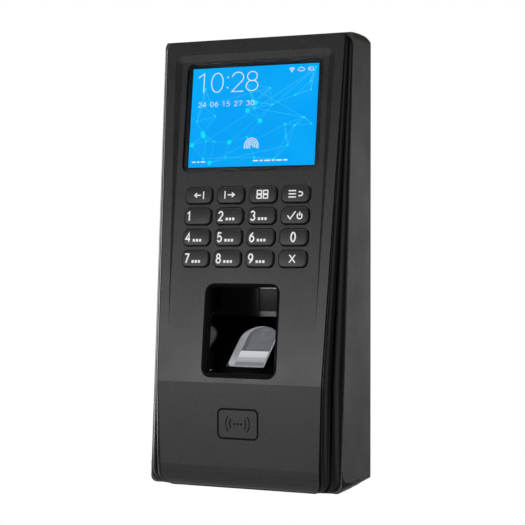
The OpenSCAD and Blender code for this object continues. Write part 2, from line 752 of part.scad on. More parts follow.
module network_jack() color("dimgray") from_bottom() difference() {
    out_block([jack_x[0], jack_d, jack_z[0]], [jack_x[1], io_d, jack_z[1]]);
    translate([jack_mid_x - jack_open[0] / 2, -jack_d - jack_open[2], jack_z[0] + 3])
        cube([jack_open[0], jack_open[2] + 1, jack_open[1]]);
    translate([jack_mid_x - 3, -jack_d - jack_open[2], jack_z[0] + 3 + jack_open[1] - eps])
        cube([6, jack_open[2] + 1, 2]);
}

module terminal_blocks() color("seagreen") from_bottom() for (t = term_z) {
    difference() {
        out_block([term_x[0], jack_d, t[0]], [term_x[1], io_d, t[1]]);
        out_block([term_x[0] + 1, jack_d - 1, t[0] + 1.2], [term_x[1] - 1, jack_d + 8, t[1] - 1.2]);
    }
    for (i = [-2 : 2]) translate([(term_x[0] + term_x[1]) / 2 + term_pitch * i, 0, 0])
        out_cylinder(0.5, 0, (t[0] + t[1]) / 2, jack_d + 2, jack_d + 8 + eps);
}

module usb_socket() color("silver") from_bottom() difference() {
    out_block([usb_x - 3.8, usb_d, 0.8], [usb_x + 3.8, usb_d + 2.9, 8]);
    out_block([usb_x - 3.4, usb_d + 0.4, 0], [usb_x + 3.4, usb_d + 2.5, 6.5]);
}

module speaker() color("black") from_bottom() translate([speaker_x, -speaker_d, inner_low_z + 0.05])
    difference() {
        union() {
            cylinder(r = speaker_r, h = 1.6);
            cylinder(r = 4.5, h = 4.6);
        }
        translate([0, 0, -1]) cylinder(r = 6.5, h = 1.6);
    }

// ---------- tamper switch ----------

module tamper_switch() color("black") from_bottom() difference() {
    out_block([tamper_at[0] - tamper_half, shell_floor + 0.3, tamper_at[1] - tamper_half],
        [tamper_at[0] + tamper_half, main_d, tamper_at[1] + tamper_half]);
    out_cylinder(plunger_bore_r, tamper_at[0], tamper_at[1], 5, 8);
}
module tamper_plunger() color("white") from_bottom()
    out_cylinder(plunger_tip_r, tamper_at[0], tamper_at[1], plate_t + 0.02, 7.2);

wall_plate();
lock_screw();
rear_shell();
side_bezel();
front_cover();
shell_gasket();
casing_screws();
display_window();
display_gasket();
lcd_panel();
lcd_frame();
lcd_ribbon();
keypad_mat();
keypad_board();
keypad_screws();
key_in();
key_out();
key_fn();
key_menu();
key_1();
key_2();
key_3();
key_ok();
key_4();
key_5();
key_6();
key_0();
key_7();
key_8();
key_9();
key_clear();
finger_well();
sensor_platen();
presence_window();
sensor_housing();
sensor_board();
sensor_ribbon();
card_board();
card_coil();
main_board();
processor_shield();
backup_cell();
cell_holder();
board_screws();
io_board();
relay();
network_jack();
terminal_blocks();
usb_socket();
speaker();
tamper_switch();
tamper_plunger();
wifi_antenna();
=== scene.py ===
import json
import math
import random

import bmesh
import bpy
from mathutils import Matrix, Vector


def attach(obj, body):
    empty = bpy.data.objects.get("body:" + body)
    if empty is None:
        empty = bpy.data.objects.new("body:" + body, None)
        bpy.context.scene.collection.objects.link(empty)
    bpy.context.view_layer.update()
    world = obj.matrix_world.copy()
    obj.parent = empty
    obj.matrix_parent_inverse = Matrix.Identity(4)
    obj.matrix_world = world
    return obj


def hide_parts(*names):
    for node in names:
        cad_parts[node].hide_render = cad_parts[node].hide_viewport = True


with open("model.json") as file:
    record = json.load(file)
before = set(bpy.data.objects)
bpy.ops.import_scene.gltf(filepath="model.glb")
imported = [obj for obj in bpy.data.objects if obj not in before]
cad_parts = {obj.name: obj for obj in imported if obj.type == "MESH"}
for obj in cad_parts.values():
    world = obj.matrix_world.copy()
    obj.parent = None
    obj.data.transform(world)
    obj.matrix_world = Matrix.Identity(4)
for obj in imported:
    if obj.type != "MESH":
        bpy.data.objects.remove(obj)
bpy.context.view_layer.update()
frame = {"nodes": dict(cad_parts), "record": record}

# Sizes below are in millimetres: x to the right, d out from the wall, z up from the bottom edge.
MM = 0.001
BODY_H = 180.0
BODY_D = 40.0
CASING = "casing"

# Front
CREASE_Z = 41.5
TOP_Z = 177.7
TOP_D = 23.2
TILT = math.degrees(math.atan((BODY_D - TOP_D) / (TOP_Z - CREASE_Z)))
LOWER_LEAN = 0.25
ROLL_Z = 8.6
ROLL_D = 4.85
ROLL_IN_D = BODY_D - LOWER_LEAN - ROLL_D
COVER_TOP_X = 38.4
COVER_LOW_X = 33.5
COVER_TOP_R, COVER_LOW_R = 2.0, 4.0

# Side bezel and rear shell
BODY_X = 41.0
JOINT_LOW_D, JOINT_SLOPE = 34.0, 0.0754
BEZEL_LOW_Z, BEZEL_TOP_Z, BEZEL_R = 0.1, 178.6, 6.0
BEZEL_TUCK, BEZEL_HANG, BEZEL_GAP, BEZEL_WALL = 0.8, 2.4, 0.45, 1.4
SKIRT_FRONT_D, SKIRT_LENGTH = 33.4, 20.0
SKIRT_FRONT_Z, SKIRT_FALL, SKIRT_SWEEP = 4.3, 3.0, 4.0
SKIRT_PROUD, SKIRT_T, SKIRT_R, SKIRT_UNDER_X = 0.12, 0.5, 2.6, 37.6

# Recess floor around display and keypad
RECESS_LOW_Z, RECESS_TOP_Z, RECESS_BEVEL = 62.0, 172.5, 2.8
RECESS_RUN = (RECESS_TOP_Z - RECESS_LOW_Z) / math.cos(math.radians(TILT)) - RECESS_BEVEL
FLOOR_ANGLE = TILT + math.degrees(math.asin(1.0 / RECESS_RUN))
DISPLAY_Z = 147.0
WINDOW_W, WINDOW_H, WINDOW_R = 58.7, 44.6, 2.75
PICTURE_W, PICTURE_H = 54.7, 40.65
PICTURE_N = -1.42
PICTURE_STEP = 0.015
PRINT_TOP = PICTURE_N + 3 * PICTURE_STEP

# Keys
KEY_PITCH_X = 13.9
KEY_PITCH_Z = 8.41
KEY_TOP_Z = 115.2
KEY_W, KEY_H, KEY_R = 11.7, 6.5, 2.2
KEY_PROUD = 1.1
KEY_EDGE_R = 0.45
KEY_FLANGE_W, KEY_FLANGE_H, KEY_FLANGE_R = KEY_W + 1.4, KEY_H + 1.2, 1.5
KEY_FLANGE_TOP, KEY_FLANGE_FOOT, KEY_STEM_END = -2.65, -3.3, -4.9
KEY_STEM_R = 2.0
MARK_H = 3.5
MARK_SUNK, MARK_PROUD = 0.1, 0.03
KEYS = [
    ["key_in", "key_out", "key_fn", "key_menu"],
    ["key_1", "key_2", "key_3", "key_ok"],
    ["key_4", "key_5", "key_6", "key_0"],
    ["key_7", "key_8", "key_9", "key_clear"],
]

# Finger well
INCLINE = math.degrees(math.atan(0.791))
PLATEN_FOOT = (32.6, 47.6)
PLATEN_W, PLATEN_L, PLATEN_T, PLATEN_PROUD = 15.7, 23.8, 2.7, 0.5
LIP_BELOW_FACE, LIP_BLEND = 3.6, 0.3

# Card mark
CARD_MARK_Z = 25.6
CARD_MARK_W, CARD_MARK_H, CARD_MARK_R, CARD_MARK_PEN = 16.9, 11.5, 1.9, 0.75

# Shades for masks
BLACK = (0, 0, 0, 1)
WHITE = (1, 1, 1, 1)


# ---------- frames of reference ----------

def face_d(z):
    """Depth of the sloping front at height z."""
    return BODY_D - (z - CREASE_Z) * math.tan(math.radians(TILT))


def front_d(z):
    """Depth of the front at any height: sloping, then upright, then rolled under."""
    if z >= CREASE_Z:
        return face_d(z)
    if z >= ROLL_Z:
        return BODY_D - LOWER_LEAN * (CREASE_Z - z) / (CREASE_Z - ROLL_Z)
    return ROLL_IN_D + ROLL_D * math.sqrt(max(0.0, 1 - ((ROLL_Z - z) / ROLL_Z) ** 2))


def joint_d(z):
    """Depth of the joint between rear shell and bezel."""
    return JOINT_LOW_D - JOINT_SLOPE * z


def place(x, d, z):
    """A point of the frame in metres, from millimetres."""
    return Vector((x, -d, z - BODY_H / 2)) * MM


def slope_frame(d, z, angle):
    """Takes millimetres on a face that leans back by angle, X right, Y up it and Z out of it, to metres."""
    s, c = math.sin(math.radians(angle)), math.cos(math.radians(angle))
    axes = Matrix(((1, 0, 0, 0), (0, s, -c, -d), (0, c, s, z - BODY_H / 2), (0, 0, 0, 1)))
    return Matrix.Scale(MM, 4) @ axes


ON_FLOOR = slope_frame(face_d(RECESS_LOW_Z), RECESS_LOW_Z, FLOOR_ANGLE)
ON_LOWER = slope_frame(BODY_D, CREASE_Z, -math.degrees(math.atan(LOWER_LEAN / (CREASE_Z - ROLL_Z))))
ON_INCLINE = slope_frame(PLATEN_FOOT[0], PLATEN_FOOT[1], 90 - INCLINE)


def floor_y(z):
    """How far up the recess floor height z is."""
    return (z - RECESS_LOW_Z) / math.cos(math.radians(FLOOR_ANGLE))


# ---------- mesh building ----------

class Solid:
    """Gathers closed shapes into one mesh."""

    def __init__(self):
        self.points = []
        self.faces = []

    def loft(self, loops, ring=False):
        """Skins equal loops of points. A ring joins last to first, otherwise both ends are capped."""
        first, size = len(self.points), len(loops[0])
        for loop in loops:
            self.points += [Vector(p) for p in loop]
        pairs = len(loops) if ring else len(loops) - 1
        for i in range(pairs):
            a, b = first + i * size, first + (i + 1) % len(loops) * size
            self.faces += [(a + j, a + (j + 1) % size, b + (j + 1) % size, b + j) for j in range(size)]
        if not ring:
            last = first + (len(loops) - 1) * size
            self.faces.append(tuple(first + j for j in reversed(range(size))))
            self.faces.append(tuple(last + j for j in range(size)))

    def stack(self, shape, levels):
        """Stacks a flat shape, a function of its inset, at (height, inset) levels."""
        self.loft([[(x, y, n) for x, y in shape(inset)] for n, inset in levels])

    def line(self, points, width, n0, n1, ring=False):
        """A raised flat line of constant width through flat points."""
        sides = [mitre(points, i, width / 2, ring) for i in range(len(points))]
        self.loft([[(*a, n0), (*b, n0), (*b, n1), (*a, n1)] for a, b in sides], ring)

    def dot(self, x, y, r, n0, n1):
        """A raised flat disc."""
        circle = arc(x, y, r, r, 0, 360, 20)[:-1]
        self.loft([[(*p, n0) for p in circle], [(*p, n1) for p in circle]])

    def build(self, name, look, slot, matrix=None, body=CASING, smooth=35):
        """Makes the piece. Edges that turn by more than smooth degrees stay sharp."""
        mesh = bpy.data.meshes.new(name)
        mesh.from_pydata(self.points, [], self.faces)
        if matrix is not None:
            mesh.transform(matrix)
        mesh.materials.append(look)
        mesh.validate()
        fix_normals(mesh)
        mesh.shade_smooth()
        mesh.set_sharp_from_angle(angle=math.radians(smooth))
        piece = bpy.data.objects.new(name, mesh)
        bpy.context.scene.collection.objects.link(piece)
        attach(piece, body)
        return piece


def fix_normals(mesh):
    shape = bmesh.new()
    shape.from_mesh(mesh)
    bmesh.ops.recalc_face_normals(shape, faces=shape.faces)
    shape.to_mesh(mesh)
    shape.free()


def mitre(points, i, half, ring):
    """The two edge points of a flat line at its point i."""
    here = Vector(points[i])
    before = Vector(points[i - 1]) if i or ring else None
    after = Vector(points[(i + 1) % len(points)]) if i < len(points) - 1 or ring else None
    steps = [(here - before).normalized()] if before is not None else []
    steps += [(after - here).normalized()] if after is not None else []
    along = sum(steps, Vector((0, 0))).normalized()
    side = Vector((-along.y, along.x))
    reach = half / max(0.5, abs(side.dot(Vector((-steps[0].y, steps[0].x)))))
    return here + side * reach, here - side * reach


def arc(cx, cy, rx, ry, start, end, steps=12):
    turns = [math.radians(start + (end - start) * i / steps) for i in range(steps + 1)]
    return [(cx + rx * math.cos(t), cy + ry * math.sin(t)) for t in turns]


def round_rect(w, h, r, x=0.0, y=0.0, steps=8):
    far_x, far_y = w / 2 - r, h / 2 - r
    corners = [(far_x, far_y, 0), (-far_x, far_y, 90), (-far_x, -far_y, 180), (far_x, -far_y, 270)]
    return [p for cx, cy, a in corners for p in arc(x + cx, y + cy, r, r, a, a + 90, steps)]


def arch(w, l, inset, foot_r):
    """A straight-sided arch standing on y = 0, with small rounded feet."""
    half, r = w / 2 - inset, foot_r
    low = inset * 0.5
    return (arc(half - r, low + r, r, r, -90, 0, 6)
            + arc(0, l - w / 2, half, half, 0, 180, 24)
            + arc(r - half, low + r, r, r, 180, 270, 6))


# ---------- materials ----------

def srgb(r, g, b):
    """A colour given as 0 to 255 display values."""
    def linear(v):
        v /= 255
        return v / 12.92 if v <= 0.04045 else ((v + 0.055) / 1.055) ** 2.4
    return linear(r), linear(g), linear(b), 1.0


class Look:
    """A node material with mottled colour, uneven gloss and surface grain."""

    def __init__(self, name):
        self.material = bpy.data.materials.new(name)
        self.material.use_nodes = True
        self.nodes = self.material.node_tree.nodes
        self.links = self.material.node_tree.links
        self.shader = self.nodes["Principled BSDF"]
        self.where = self.nodes.new("ShaderNodeTexCoord").outputs["Object"]

    def noise(self, scale, detail=3.0, rough=0.55, stretch=None):
        node = self.nodes.new("ShaderNodeTexNoise")
        node.inputs["Scale"].default_value = scale
        node.inputs["Detail"].default_value = detail
        node.inputs["Roughness"].default_value = rough
        where = self.where
        if stretch:
            mapping = self.nodes.new("ShaderNodeMapping")
            mapping.inputs["Scale"].default_value = stretch
            self.links.new(where, mapping.inputs["Vector"])
            where = mapping.outputs["Vector"]
        self.links.new(where, node.inputs["Vector"])
        return node.outputs["Fac"]

    def cells(self, scale, feature="F1"):
        node = self.nodes.new("ShaderNodeTexVoronoi")
        node.feature = feature
        node.inputs["Scale"].default_value = scale
        self.links.new(self.where, node.inputs["Vector"])
        return node.outputs["Color" if feature == "F1" else "Distance"]

    def ramp(self, value, stops):
        node = self.nodes.new("ShaderNodeValToRGB")
        node.color_ramp.interpolation = "EASE"
        while len(node.color_ramp.elements) < len(stops):
            node.color_ramp.elements.new(0.5)
        for element, (at, colour) in zip(node.color_ramp.elements, stops):
            element.position = at
            element.color = colour
        self.links.new(value, node.inputs["Fac"])
        return node.outputs["Color"]

    def span(self, value, low, high, to_low, to_high):
        node = self.nodes.new("ShaderNodeMapRange")
        for name, number in zip(("From Min", "From Max", "To Min", "To Max"), (low, high, to_low, to_high)):
            node.inputs[name].default_value = number
        self.links.new(value, node.inputs["Value"])
        return node.outputs["Result"]

    def along(self, direction, start, length):
        """0 to 1 along a direction in the row frame, from the point start, over a length in metres."""
        dot = self.nodes.new("ShaderNodeVectorMath")
        dot.operation = "DOT_PRODUCT"
        dot.inputs[1].default_value = direction
        self.links.new(self.where, dot.inputs[0])
        begin = Vector(start).dot(Vector(direction))
        return self.span(dot.outputs["Value"], begin, begin + length, 0.0, 1.0)

    def mix(self, share, a, b):
        node = self.nodes.new("ShaderNodeMix")
        node.data_type = "RGBA"
        for socket, value in zip((node.inputs[0], node.inputs[6], node.inputs[7]), (share, a, b)):
            if hasattr(value, "is_linked"):
                self.links.new(value, socket)
            else:
                socket.default_value = value
        return node.outputs[2]

    def colour(self, output):
        self.links.new(output, self.shader.inputs["Base Color"])
        return self

    def mottle(self, base, spread, scale):
        """Base colour that wanders by the share spread."""
        light = [min(1.0, c * (1 + spread)) for c in base[:3]] + [1.0]
        dark = [c * (1 - spread) for c in base[:3]] + [1.0]
        return self.ramp(self.noise(scale), [(0.3, dark), (0.7, light)])

    def gloss(self, low, high, scale):
        rough = self.span(self.noise(scale, 4.0), 0.3, 0.7, low, high)
        self.links.new(rough, self.shader.inputs["Roughness"])
        return self

    def grain(self, height, distance, strength):
        bump = self.nodes.new("ShaderNodeBump")
        bump.inputs["Strength"].default_value = strength
        bump.inputs["Distance"].default_value = distance
        self.links.new(height, bump.inputs["Height"])
        self.links.new(bump.outputs["Normal"], self.shader.inputs["Normal"])
        return self

    def set(self, **values):
        for name, value in values.items():
            self.shader.inputs[name.replace("_", " ")].default_value = value
        return self

    def glow(self, output, strength):
        self.links.new(output, self.shader.inputs["Emission Color"])
        self.shader.inputs["Emission Strength"].default_value = strength
        return self


def moulded(name, base, low, high, grain_scale=2600, grain_depth=0.00003, speck=None):
    """Textured moulded plastic, with a fine spark-eroded grain and a few lighter specks."""
    look = Look(name)
    tone = look.mottle(base, 0.06, 90)
    if speck:
        share = look.ramp(look.noise(grain_scale * 0.9, 1.0, 0.3), [(0.55, BLACK), (0.75, WHITE)])
        tone = look.mix(share, tone, speck)
    look.colour(tone).gloss(low, high, 60).grain(look.noise(grain_scale, 2.0), grain_depth, 0.7)
    return look.material


def polished(name, base, low, high, coat=0.6, ior=1.5):
    """Glossy moulded plastic with faint smears in the gloss and a slight ripple."""
    look = Look(name)
    look.colour(look.mottle(base, 0.15, 40)).gloss(low, high, 55).grain(look.noise(110, 1.0), 0.00002, 0.12)
    look.set(Coat_Weight=coat, Coat_Roughness=0.05, IOR=ior)
    return look.material


def metal(name, base, low, high, stretch=(1, 1, 1), scale=400, spangle=0.0):
    """Plated metal, brushed along the axis that stretch shortens."""
    look = Look(name)
    tone = look.mottle(base, 0.08, 60)
    if spangle:
        tone = look.mix(look.span(look.cells(220), 0.0, 1.0, 0.0, spangle), tone, (0.75, 0.76, 0.78, 1))
    look.colour(tone).grain(look.noise(scale, 2.0, 0.6, stretch), 0.00002, 0.5)
    rough = look.span(look.noise(scale, 3.0, 0.6, stretch), 0.3, 0.7, low, high)
    look.links.new(rough, look.shader.inputs["Roughness"])
    look.set(Metallic=1.0)
    return look.material


def circuit_board():
    """Green solder mask with lighter tracks and small tinned pads."""
    look = Look("circuit_board")
    tracks = look.ramp(look.cells(260, "DISTANCE_TO_EDGE"), [(0.03, WHITE), (0.06, BLACK)])
    mask = look.mix(tracks, look.mottle((0.004, 0.07, 0.025, 1), 0.1, 80), (0.012, 0.16, 0.06, 1))
    pads = look.ramp(look.noise(900, 0.0, 0.2), [(0.74, BLACK), (0.78, WHITE)])
    look.colour(look.mix(pads, mask, (0.55, 0.56, 0.55, 1))).gloss(0.25, 0.4, 90)
    look.grain(tracks, 0.00003, 0.5)
    return look.material


def window_glass():
    """Clear window with an anti-reflective coat, hence the low index."""
    look = Look("window_glass")
    look.colour(look.mottle((0.9, 0.92, 0.95, 1), 0.02, 30)).gloss(0.0, 0.02, 30)
    look.grain(look.noise(70, 1.0), 0.000005, 0.1)
    look.set(Transmission_Weight=1.0, IOR=1.1)
    return look.material


def cool_grey(level, red_gap, blue_gap):
    """Display grey with its green and blue a little above its red."""
    return srgb(level, level + red_gap, level + blue_gap)


def platen_glass():
    """Coated optical glass. Bands of light and grey are painted up the slope of its face as painted
    reflections, and they glow as painted light.
    """
    look = Look("platen_glass")
    slope = (0.0, math.cos(math.radians(INCLINE)), math.sin(math.radians(INCLINE)))
    up = look.along(slope, place(0, *PLATEN_FOOT), PLATEN_L * MM)
    # Grey levels of the painted reflection bands, from the foot of the glass up.
    foot, painted_grey_band, painted_bright_band, field = (118, 116), (152, 168), (198, 212), (92, 98)
    starts = ((0.0, 0.08, foot), (0.095, 0.20, painted_grey_band), (0.215, 0.35, painted_bright_band), (0.365, 1.0, field))
    stops = [stop for low, high, tones in starts for stop in zip((low, high), tones)]
    # Painted reflection: grey and bright bands, set by position up the slope, stand in for light reflected
    # inside the glass.
    painted_light_bands = look.ramp(up, [(at, cool_grey(level, 3, 8)) for at, level in stops])
    look.colour(look.mix(look.span(look.noise(160), 0.3, 0.7, 0.0, 0.12), painted_light_bands, (0.25, 0.25, 0.27, 1)))
    look.gloss(0.06, 0.16, 200).grain(look.noise(500, 1.0), 0.00001, 0.1)
    # Painted light: the bands glow, though the glass is no lamp.
    look.glow(painted_light_bands, 0.75)
    look.set(Coat_Weight=0.7, Coat_Roughness=0.03)
    return look.material


def painted_glow_glass(name, low, high, strength):
    """Frosted glass between two greys, which glows with painted light in its own tone."""
    look = Look(name)
    tone = look.ramp(look.noise(240, 2.0), [(0.3, cool_grey(low, 2, 5)), (0.7, cool_grey(high, 3, 7))])
    # Painted light: the glass glows in its own grey, though it is no lamp.
    look.colour(tone).gloss(0.15, 0.3, 150).glow(tone, strength)
    look.set(Coat_Weight=0.5, Coat_Roughness=0.05)
    return look.material


def well_gloss():
    """Mirror black inside the well, duller on the lip that stands in the front."""
    look = Look("well_gloss")
    out = (0.0, -math.cos(math.radians(TILT)), math.sin(math.radians(TILT)))
    mid_z = 60
    lip = look.along(out, place(0, face_d(mid_z) - LIP_BELOW_FACE, mid_z), LIP_BLEND * MM)
    inside = look.mottle((0.14, 0.14, 0.145, 1), 0.06, 90)
    look.colour(look.mix(lip, inside, (0.005, 0.005, 0.005, 1)))
    look.links.new(look.span(lip, 0.0, 1.0, 0.1, 0.5), look.shader.inputs["Roughness"])
    look.links.new(look.span(lip, 0.0, 1.0, 1.0, 0.0), look.shader.inputs["Metallic"])
    look.set(IOR=1.16)
    look.grain(look.noise(110, 1.0), 0.00002, 0.1)
    return look.material


def printed(name, base, rough=0.45, shine=0.5, glow=0.0):
    """Ink, or with a glow the lit legend on a key."""
    look = Look(name)
    look.set(Specular_IOR_Level=shine)
    tone = look.mottle(base, 0.05, 700)
    if glow:
        look.glow(tone, glow)
    look.colour(tone).gloss(rough - 0.05, rough + 0.05, 500)
    look.grain(look.noise(4000, 1.0), 0.00001, 0.4)
    return look.material


def lit(name, low, high):
    """A part of the display's picture, lit from within."""
    look = Look(name)
    tone = look.ramp(look.noise(25, 2.0), [(0.25, low), (0.75, high)])
    look.colour(look.ramp(look.noise(25), [(0, (0.01, 0.01, 0.01, 1)), (1, (0.02, 0.02, 0.02, 1))]))
    look.gloss(0.3, 0.4, 60).glow(tone, 1.0)
    look.set(Specular_IOR_Level=0.0)
    return look.material


LOOKS = {
    "zinc_steel": metal("zinc_steel", (0.5, 0.51, 0.53, 1), 0.28, 0.45, spangle=0.5),
    "screw_steel": metal("screw_steel", (0.45, 0.45, 0.46, 1), 0.2, 0.38, (1, 1, 6), 900),
    "shell_plastic": moulded("shell_plastic", (0.053, 0.051, 0.046, 1), 0.42, 0.5),
    "gloss_bezel": polished("gloss_bezel", (0.007, 0.007, 0.007, 1), 0.26, 0.33, 0.0, 1.4),
    "cover_plastic": moulded("cover_plastic", (0.028, 0.028, 0.029, 1), 0.33, 0.38, 2400, 0.00002,
                             speck=(0.055, 0.055, 0.058, 1)),
    "key_plastic": moulded("key_plastic", (0.025, 0.025, 0.026, 1), 0.34, 0.4, 3000, 0.00001),
    "seal_foam": moulded("seal_foam", (0.012, 0.012, 0.012, 1), 0.85, 0.95, 1500, 0.00008),
    "window_lens": window_glass(),
    "lcd_glass": polished("lcd_glass", (0.02, 0.03, 0.035, 1), 0.1, 0.2),
    "tin_plate": metal("tin_plate", (0.6, 0.6, 0.6, 1), 0.25, 0.4, (1, 8, 1), 500),
    "flex_film": polished("flex_film", (0.1, 0.035, 0.008, 1), 0.25, 0.35, 0.3),
    "silicone": moulded("silicone", (0.2, 0.2, 0.21, 1), 0.6, 0.75, 1800),
    "circuit_board": circuit_board(),
    "platen_glass": platen_glass(),
    "smoked_window": polished("smoked_window", (0.006, 0.006, 0.007, 1), 0.1, 0.2, 0.0, 1.22),
    "inner_plastic": moulded("inner_plastic", (0.02, 0.02, 0.022, 1), 0.4, 0.5, 2400),
    "copper": metal("copper", (0.8, 0.38, 0.2, 1), 0.2, 0.35, (1, 1, 1), 700),
    "cell_steel": metal("cell_steel", (0.6, 0.6, 0.58, 1), 0.15, 0.3, (8, 1, 8), 600),
    "relay_blue": moulded("relay_blue", (0.02, 0.06, 0.3, 1), 0.3, 0.4, 2000),
    "terminal_green": moulded("terminal_green", (0.02, 0.22, 0.07, 1), 0.35, 0.45, 2000),
    "white_plastic": moulded("white_plastic", (0.6, 0.6, 0.58, 1), 0.35, 0.45, 2000),
}
BLACK_PRINT = printed("black_print", (0.006, 0.006, 0.006, 1), 0.35)
DARK_PRINT = printed("dark_print", (0.004, 0.004, 0.004, 1), 0.7, 0.15)
WELL_GLOSS = well_gloss()
WHITE_PRINT = printed("white_print", (0.78, 0.78, 0.78, 1), glow=0.5)
SKIRT_GLOSS = polished("skirt_gloss", (0.004, 0.004, 0.004, 1), 0.1, 0.18, 0.0, 1.22)

# ---------- CAD pieces that stay ----------

SPECIAL_LOOKS = {"finger_well": WELL_GLOSS}
WELD_GAP = 0.001
EDGE_ROUNDING = {"front_cover": 0.25, "rear_shell": 0.35, "finger_well": 0.15, "wall_plate": 0.12}
for part in frame["record"]["subparts"]:
    node = frame["nodes"][part["node"]]
    node.data.materials.clear()
    node.data.materials.append(SPECIAL_LOOKS.get(part["node"], LOOKS[part["material_slot"]]))
    weld = node.modifiers.new("weld", "WELD")
    weld.merge_threshold = WELD_GAP * MM
    width = EDGE_ROUNDING.get(part["node"], 0.0)
    if width:
        bevel = node.modifiers.new("rounded_edges", "BEVEL")
        bevel.width = width * MM
        bevel.segments = 3
        bevel.limit_method = "ANGLE"
        bevel.angle_limit = math.radians(38)
        bevel.use_clamp_overlap = True
        even = node.modifiers.new("even_shading", "WEIGHTED_NORMAL")
        even.weight = 100
        even.keep_sharp = True


# ---------- side bezel ----------

def outline(low_x, top_x, low_z, top_z, low_r, top_r, sides):
    """Right half of a rounded outline from bottom middle to top middle: places and outward directions."""
    lean = math.atan((top_x - low_x) / top_z)
    slope, edge = math.tan(lean), math.cos(lean)
    low_c = (low_x + (low_z + low_r) * slope - low_r / edge, low_z + low_r)
    top_c = (top_x - top_r * slope - top_r / edge, top_z - top_r)
    turn = math.degrees(lean)
    across = [i / 5 for i in range(5)]
    path = [((t * low_c[0], low_z), (0, -1)) for t in across]
    path += zip(arc(*low_c, low_r, low_r, -90, -turn, 10), arc(0, 0, 1, 1, -90, -turn, 10))
    a, b = path[-1][0], arc(*top_c, top_r, top_r, -turn, 90, 10)[0]
    path += [((a[0] + (b[0] - a[0]) * t, a[1] + (b[1] - a[1]) * t), path[-1][1]) for t in sides]
    path += zip(arc(*top_c, top_r, top_r, -turn, 90, 10), arc(0, 0, 1, 1, -turn, 90, 10))
    path += [((t * top_c[0], top_z), (0, 1)) for t in reversed(across)]
    return path


def bezel_section():
    """Places across the bezel, and how far each stands proud, both as shares of its width.
    0 is the edge of the cover and 1 is the joint with the shell. Two ribs stand between dark gaps."""
    rib_rise, rib_foot, gap_depth, joint_depth = 0.03, -0.01, -0.11, -0.06

    def rib(start, end):
        steps = (0.1, 0.3, 0.5, 0.7, 0.9)
        return [(start + (end - start) * t, rib_rise * math.sin(math.pi * t)) for t in steps]

    section = [(0.07, -0.09), (0.09, rib_foot)] + rib(0.09, 0.40)
    section += [(0.40, rib_foot), (0.41, gap_depth), (0.52, gap_depth), (0.53, rib_foot)] + rib(0.53, 0.91)
    section += [(0.91, rib_foot), (0.92, joint_depth), (0.985, joint_depth), (0.99, rib_foot), (1.0, -0.005)]
    return section


def make_bezel():
    """The polished ribs between front cover and rear shell, all the way round."""
    crease = (CREASE_Z - COVER_LOW_R) / (TOP_Z - COVER_LOW_R - COVER_TOP_R)
    sides = sorted([i / 24 for i in range(1, 24)] + [crease - 0.012, crease, crease + 0.012])
    cover = outline(COVER_LOW_X, COVER_TOP_X, 0.0, TOP_Z, COVER_LOW_R, COVER_TOP_R, sides)
    rear = outline(BODY_X, BODY_X, BEZEL_LOW_Z, BEZEL_TOP_Z, BEZEL_R, BEZEL_R, sides)
    front = Vector((0, -1, 0))
    loops = []
    for (at, way), (rear_at, rear_way) in zip(cover, rear):
        edge = Vector((at[0], -front_d(at[1]), at[1]))
        back = Vector((rear_at[0], -joint_d(rear_at[1]), rear_at[1]))
        out = (Vector((way[0], 0, way[1])) + Vector((rear_way[0], 0, rear_way[1]))).normalized()
        span = back - edge
        proud = out + front
        proud = (proud - proud.project(span)).normalized() * span.length
        under = min(BEZEL_HANG, 0.8 * abs(span.y))
        loop = [edge - out * BEZEL_TUCK - front * under, edge + out * BEZEL_GAP - front * under]
        loop.append(edge + out * BEZEL_GAP - front * 0.4 * under)
        loop += [edge + span * t + proud * h for t, h in bezel_section()]
        loop.append(back - out * BEZEL_WALL)
        loops.append(loop)
    mirrored = [[Vector((-p.x, p.y, p.z)) for p in loop] for loop in reversed(loops[1:-1])]
    bezel = Solid()
    bezel.loft([[place(p.x, -p.y, p.z) for p in loop] for loop in loops + mirrored], ring=True)
    piece = bezel.build("bezel_rails", LOOKS["gloss_bezel"], "gloss_bezel", smooth=50)
    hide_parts("side_bezel")


def make_skirt(side):
    """Glossy strip round the lower edge of the rear shell on one side, which curves up into the ribs."""
    steps = 28
    outer_x = BODY_X + SKIRT_PROUD
    loops = []
    for i in range(steps + 1):
        share = (i / steps) ** 1.6
        near = max(0.0, SKIRT_SWEEP - SKIRT_LENGTH * share)
        sweep_up = SKIRT_SWEEP - math.sqrt(SKIRT_SWEEP ** 2 - near ** 2)
        top_z = SKIRT_FRONT_Z - SKIRT_FALL * share + sweep_up
        low_z = max(0.0, 0.9 * (share - 0.6)) - 0.15
        outer = [(outer_x, max(top_z, low_z + SKIRT_R))]
        outer += arc(outer_x - SKIRT_R, low_z + SKIRT_R, SKIRT_R, SKIRT_R, 0, -90, 8)
        outer.append((SKIRT_UNDER_X, low_z))
        inner = [(x - SKIRT_T * (x > SKIRT_UNDER_X), z + SKIRT_T * (x < BODY_X)) for x, z in outer]
        d = SKIRT_FRONT_D - SKIRT_LENGTH * share
        loops.append([place(side * x, d, max(z, low_z)) for x, z in outer + inner[::-1]])
    skirt = Solid()
    skirt.loft(loops)
    name = "bezel_skirt_right" if side > 0 else "bezel_skirt_left"
    skirt.build(name, SKIRT_GLOSS, "gloss_bezel", smooth=50)


# ---------- display ----------

